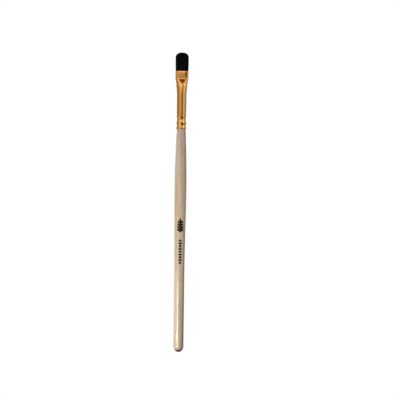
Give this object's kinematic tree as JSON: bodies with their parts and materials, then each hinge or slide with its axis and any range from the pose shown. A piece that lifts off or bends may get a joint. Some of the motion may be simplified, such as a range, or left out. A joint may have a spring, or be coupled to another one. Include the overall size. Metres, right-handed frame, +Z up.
{
  "type": "flat round-tipped hair brush",
  "caption": "Slim flat brush with a domed tuft of dark hair, a pressed metal ferrule and a turned wooden handle.",
  "frame": {"origin": "centre of the rounded butt's end, on the brush axis", "axes": "+Z up the brush axis towards the hair tip, X across the width of the flat tuft, -Y the front face with the printed marks"},
  "size_m": [0.0076, 0.0066, 0.17],
  "materials": {
    "handle_wood": "pale close-grained wood under clear satin lacquer",
    "ferrule_metal": "bright copper-gold, smooth rolled",
    "hair": "soft black hair",
    "thread": "waxed thread",
    "resin": "clear amber cast resin",
    "glue": "set clear glue"
  },
  "bodies": {
    "root": {"handle": "handle_wood", "ferrule": "ferrule_metal", "hair_tuft": "hair", "binding_thread": "thread", "resin_plug": "resin", "handle_glue": "glue"}
  },
  "joints": []
}
